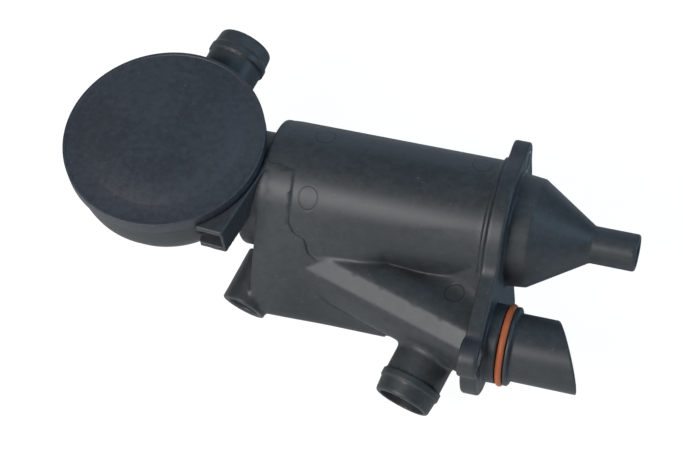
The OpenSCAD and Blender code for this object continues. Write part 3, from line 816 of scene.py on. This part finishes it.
def coil(name, centre, radius, wire, low, high, turns=3, steps=48, sides=12):
    """A round wire wound round a vertical axis."""
    points, faces = [], []
    for i in range(turns * steps + 1):
        angle = 2 * math.pi * i / steps
        middle = low + wire + (high - low - 2 * wire) * i / (turns * steps)
        for j in range(sides):
            out = radius + wire * math.cos(2 * math.pi * j / sides)
            points.append((centre[0] + out * math.cos(angle), centre[1] + out * math.sin(angle),
                           middle + wire * math.sin(2 * math.pi * j / sides)))
    for i in range(turns * steps):
        for j in range(sides):
            k = (j + 1) % sides
            faces.append((i * sides + j, i * sides + k, (i + 1) * sides + k, (i + 1) * sides + j))
    faces.append(tuple(reversed(range(sides))))
    faces.append(tuple(turns * steps * sides + j for j in range(sides)))
    print(f"{name}: {turns} turns from {low:.1f} to {high:.1f} mm")
    return add_object(name, points, faces)


diaphragm = lathe("diaphragm_skin", diaphragm_profile(), DRUM)
spring_low, spring_high = node_box("valve_spring")
spring = coil("spring_wire", DRUM, SPRING_R, SPRING_WIRE_R, spring_low[2], spring_high[2])

# %% [markdown]
# ## Everything rides on a body
# All skins ride on the body `housing`, and so does the spring. Each skin stands for
# its solid, which stays for collision and is no longer shown. The diaphragm is bent between two bodies:
# each of its points follows the valve by a share that falls from the plate out to the rim.

# %% Riding and replacing
def dress(piece, node):
    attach(piece, "housing")
    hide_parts(node)


dress(housing, "separator_housing")
dress(cover, "end_cover")
dress(drum, "valve_housing")
dress(cap, "valve_cap")

# %% Diaphragm follows the valve, spring rides on the housing
CLAMP_R = DRUM_R - 3.0

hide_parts("diaphragm")
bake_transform(diaphragm, "housing", "valve", (DRUM[0] * MM, DRUM[1] * MM, DRUM_TOP * MM),
         (DRUM[0] * MM, DRUM[1] * MM, 0))
follow = diaphragm.data.attributes["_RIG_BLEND"].data
for vertex, weight in zip(diaphragm.data.vertices, follow):
    radius = math.hypot(vertex.co.x / MM - DRUM[0], vertex.co.y / MM - DRUM[1])
    share = min(1.0, max(0.0, (CLAMP_R - radius) / (CLAMP_R - PLATE_R)))
    weight.value = share * share * (3 - 2 * share)

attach(spring, "housing")
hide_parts("valve_spring")
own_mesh(spring)

# %% [markdown]
# ## Shader maths as expressions
# A material is a graph of nodes, but it reads best as a formula. This class wraps a socket, so that
# `1 - mask * 0.5` adds the Math nodes it needs. Every other node comes from one method.

# %% A socket that can be calculated with
class Value:
    """A socket of a node tree that takes part in expressions."""

    def __init__(self, tree, socket):
        self.tree = tree
        self.socket = socket

    def node(self, kind, settings=None, inputs=None, output=0):
        return add_node(self.tree, kind, settings, inputs, output)

    def math(self, operation, *others):
        return self.node("ShaderNodeMath", {"operation": operation}, dict(enumerate((self, *others))))

    def __add__(self, other):
        return self.math("ADD", other)

    def __radd__(self, other):
        return self.math("ADD", other)

    def __sub__(self, other):
        return self.math("SUBTRACT", other)

    def __rsub__(self, other):
        return add_node(self.tree, "ShaderNodeMath", {"operation": "SUBTRACT"}, {0: other, 1: self})

    def __mul__(self, other):
        return self.math("MULTIPLY", other)

    def __rmul__(self, other):
        return self.math("MULTIPLY", other)

    def __truediv__(self, other):
        return self.math("DIVIDE", other)

    def __rtruediv__(self, other):
        return add_node(self.tree, "ShaderNodeMath", {"operation": "DIVIDE"}, {0: other, 1: self})


def add_node(tree, kind, settings=None, inputs=None, output=0):
    """Adds a node: its settings first, then its inputs as values or links."""
    node = tree.nodes.new(kind)
    for name, value in (settings or {}).items():
        setattr(node, name, value)
    for key, value in (inputs or {}).items():
        if isinstance(value, Value):
            tree.links.new(value.socket, node.inputs[key])
        else:
            node.inputs[key].default_value = value
    return Value(tree, node.outputs[output])


def band(value, low, high):
    """0 below low, 1 above high, and smooth between them."""
    return value.node("ShaderNodeMapRange", {"interpolation_type": "SMOOTHSTEP"},
                      {"Value": value, "From Min": low, "From Max": high})


def mix_colour(factor, a, b):
    """Colour a where the factor is 0 and colour b where it is 1."""
    return factor.node("ShaderNodeMix", {"data_type": "RGBA"}, {0: factor, 6: a, 7: b}, output=2)


print("expressions on sockets are ready")

# %% [markdown]
# ## Black moulded plastic
# Glass-filled nylon is a very dark grey with a fine eroded grain that came from the mould. Its gloss varies
# a little where it was handled. The colour stays nearly even, while the roughness carries a slow cloud and
# the bump carries the grain. Fine circles on the housing are the marks of the mould's ejector pins.

# %% Plastic
FLECK_COLOUR = (0.16, 0.165, 0.17, 1)
PLASTIC_IOR = 1.53


def new_material(name):
    material = bpy.data.materials.new(name)
    material.use_nodes = True
    tree = material.node_tree
    shader = tree.nodes["Principled BSDF"]
    place = add_node(tree, "ShaderNodeTexCoord", output=3)
    return material, tree, shader, place


def noise(place, scale, detail=3.0, roughness=0.5):
    return place.node("ShaderNodeTexNoise", {"noise_dimensions": "3D"},
                      {"Vector": place, "Scale": scale, "Detail": detail, "Roughness": roughness})


def ring_mark(place, x_mm, y_mm, radius_mm=3.4, width_mm=0.34):
    """A fine circle left by an ejector pin, seen along the mould's draw, which is straight up."""
    offset = place.node("ShaderNodeVectorMath", {"operation": "SUBTRACT"},
                        {0: place, 1: (x_mm * MM, y_mm * MM, 0)})
    flat = place.node("ShaderNodeVectorMath", {"operation": "MULTIPLY"}, {0: offset, 1: (1, 1, 0)})
    radius = place.node("ShaderNodeVectorMath", {"operation": "LENGTH"}, {0: flat}, output=1)
    gap = (radius - radius_mm * MM).math("ABSOLUTE")
    return 1 - band(gap, width_mm * MM * 0.4, width_mm * MM)


def shaded(colour, share):
    """A colour as four numbers, made lighter or darker by a share."""
    return (*(c * share for c in colour), 1)


def plastic(name, colour, marks=()):
    material, tree, shader, place = new_material(name)
    cloud = noise(place, 28.0, 4.0)
    mottle = noise(place, 420.0, 5.0, 0.65)
    speck = noise(place, 900.0, 2.0)
    grain = noise(place, 2600.0, 3.0, 0.6)
    patches = band(cloud * 0.4 + mottle * 0.6, 0.38, 0.62)
    tint = mix_colour(patches, shaded(colour, 0.86), shaded(colour, 1.22))
    fleck = band(speck, 0.68, 0.78)
    tint = mix_colour(fleck * 0.4, tint, FLECK_COLOUR)
    ring = 0
    for x_mm, y_mm in marks:
        ring = ring_mark(place, x_mm, y_mm) + ring
    if marks:
        tint = mix_colour(ring * 0.75, tint, shaded(colour, 0.3))
    tree.links.new(tint.socket, shader.inputs["Base Color"])
    rough = 0.32 + cloud * 0.14 + mottle * 0.14
    tree.links.new(rough.socket, shader.inputs["Roughness"])
    height = grain * 0.6 + speck * 0.4
    if marks:
        height = height - ring * 7.0
    bump = add_node(tree, "ShaderNodeBump", None, {"Strength": 0.22, "Distance": 0.00012, "Height": height})
    tree.links.new(bump.socket, shader.inputs["Normal"])
    shader.inputs["IOR"].default_value = PLASTIC_IOR
    return material


print("plastic() makes a moulded plastic")

# %% Plastics of this part
BODY_COLOUR = (0.037, 0.041, 0.044)
CAP_COLOUR = (0.043, 0.047, 0.056)
PIN_MARKS = [(-69.9, -13.8), (-70.2, 10.2), (-13.8, 11.0), (-14.5, -29.5)]
body_plastic = plastic("body_plastic", BODY_COLOUR, PIN_MARKS)
cover_plastic = plastic("cover_plastic", BODY_COLOUR)
cap_plastic = plastic("cap_plastic", CAP_COLOUR)

for piece, material in ((housing, body_plastic), (cover, cover_plastic), (drum, cover_plastic),
                        (cap, cap_plastic)):
    piece.data.materials.append(material)
print("plastics:", body_plastic.name, cover_plastic.name, cap_plastic.name)

# %% [markdown]
# ## Rubber and steel
# The ring in the port's groove is orange rubber with a soft sheen. The screw sleeves and the spring are
# steel. The diaphragm and the pad are black rubber, and the diaphragm's plate is the cap's plastic.

# %% Rubber and steel
def rubber(name, colour, roughness):
    material, tree, shader, place = new_material(name)
    cloud = noise(place, 160.0, 3.0)
    tint = mix_colour(band(cloud, 0.3, 0.7), shaded(colour, 1.0), shaded(colour, 0.8))
    tree.links.new(tint.socket, shader.inputs["Base Color"])
    tree.links.new((roughness + cloud * 0.1).socket, shader.inputs["Roughness"])
    bump = add_node(tree, "ShaderNodeBump", None,
                    {"Strength": 0.15, "Distance": 0.0001, "Height": noise(place, 1800.0)})
    tree.links.new(bump.socket, shader.inputs["Normal"])
    return material


def rolled_steel(name):
    material, tree, shader, place = new_material(name)
    streak = noise(place, 700.0, 2.0)
    tint = mix_colour(streak, (0.55, 0.55, 0.55, 1), (0.70, 0.70, 0.69, 1))
    tree.links.new(tint.socket, shader.inputs["Base Color"])
    tree.links.new((0.22 + streak * 0.2).socket, shader.inputs["Roughness"])
    shader.inputs["Metallic"].default_value = 1.0
    return material


ring_rubber = rubber("ring_rubber", (0.62, 0.15, 0.05), 0.42)
black_rubber = rubber("black_rubber", (0.025, 0.025, 0.026), 0.5)
steel = rolled_steel("rolled_steel")
diaphragm.data.materials.append(black_rubber)
spring.data.materials.append(steel)
finishes = {"port_ring": ring_rubber, "sleeve_upper": steel, "sleeve_lower": steel, "sleeve_bottom": steel,
            "valve_pad": black_rubber, "diaphragm_plate": cap_plastic}
for node, material in finishes.items():
    solid = frame["nodes"][node]
    solid.data.materials.clear()
    solid.data.materials.append(material)
    for polygon in solid.data.polygons:
        polygon.material_index = 0
print("finished solids:", sorted(finishes))

# %% [markdown]
# ## Floor and light
# The floor is white. The camera sees most of it as plain white, while it still takes the part's soft shadow.
# The light is soft and plain: a large lamp in front, cooler ones from the right, from above and from behind,
# a low one that lifts the undersides, and a pale blue world around.

# %% Floor
FLOOR_Z = float(cad_low.z)
FLOOR_HALF = 3.0


def make_floor():
    half = FLOOR_HALF
    mesh = bpy.data.meshes.new("floor")
    corners = [(-half, -half, FLOOR_Z), (half, -half, FLOOR_Z), (half, half, FLOOR_Z), (-half, half, FLOOR_Z)]
    mesh.from_pydata(corners, [], [(0, 1, 2, 3)])
    floor = bpy.data.objects.new("floor", mesh)
    bpy.context.scene.collection.objects.link(floor)
    material = bpy.data.materials.new("floor_white")
    material.use_nodes = True
    tree = material.node_tree
    shader = tree.nodes["Principled BSDF"]
    shader.inputs["Base Color"].default_value = (0.86, 0.86, 0.86, 1)
    shader.inputs["Roughness"].default_value = 0.9
    glow = add_node(tree, "ShaderNodeEmission", None, {"Color": (1, 1, 1, 1), "Strength": 1.12})
    seen = add_node(tree, "ShaderNodeLightPath", output=0)
    mixed = add_node(tree, "ShaderNodeMixShader", None,
                     {0: seen * 0.86, 1: Value(tree, shader.outputs[0]), 2: glow})
    tree.links.new(mixed.socket, tree.nodes["Material Output"].inputs["Surface"])
    floor.data.materials.append(material)
    return floor


floor = make_floor()
print("floor at", round(FLOOR_Z, 4))

# %% World and lamps
# Name, place, target, size, watts and colour of each lamp
LAMPS = [
    ("front_lamp", (-0.42, -0.57, 0.69), (-0.42, 0, 0), (0.54, 0.34), 6.6, (1.0, 0.99, 0.97)),
    ("right_lamp", (0.90, 0.15, 0.34), (0, 0, 0), (0.4, 0.4), 2.2, (0.50, 0.74, 1.0)),
    ("sky_lamp", (0.30, 0.43, 0.83), (-0.1, 0, 0), (0.45, 0.3), 1.1, (0.45, 0.72, 1.0)),
    ("back_lamp", (-0.30, 0.95, 0.22), (-0.3, 0, 0), (1.2, 0.3), 1.0, (0.70, 0.85, 1.0)),
    ("low_lamp", (-0.15, -0.95, 0.10), (-0.1, 0, 0), (1.2, 0.18), 1.1, (0.94, 0.97, 1.0)),
]


def make_world():
    world = bpy.data.worlds.new("world")
    world.use_nodes = True
    sky = world.node_tree.nodes["Background"]
    sky.inputs["Color"].default_value = (0.62, 0.80, 1.0, 1)
    sky.inputs["Strength"].default_value = 0.16
    bpy.context.scene.world = world


def area_light(name, place, target, size, watts, colour):
    data = bpy.data.lights.new(name, "AREA")
    data.shape = "RECTANGLE"
    data.size = size[0]
    data.size_y = size[1]
    data.energy = watts
    data.color = colour
    lamp = bpy.data.objects.new(name, data)
    lamp.location = place
    aim = Vector(target) - Vector(place)
    lamp.rotation_euler = aim.to_track_quat("-Z", "Y").to_euler()
    bpy.context.scene.collection.objects.link(lamp)
    return lamp


make_world()
for lamp in LAMPS:
    area_light(*lamp)
bpy.context.scene.view_settings.view_transform = "Standard"
print("lamps:", ", ".join(lamp[0] for lamp in LAMPS))
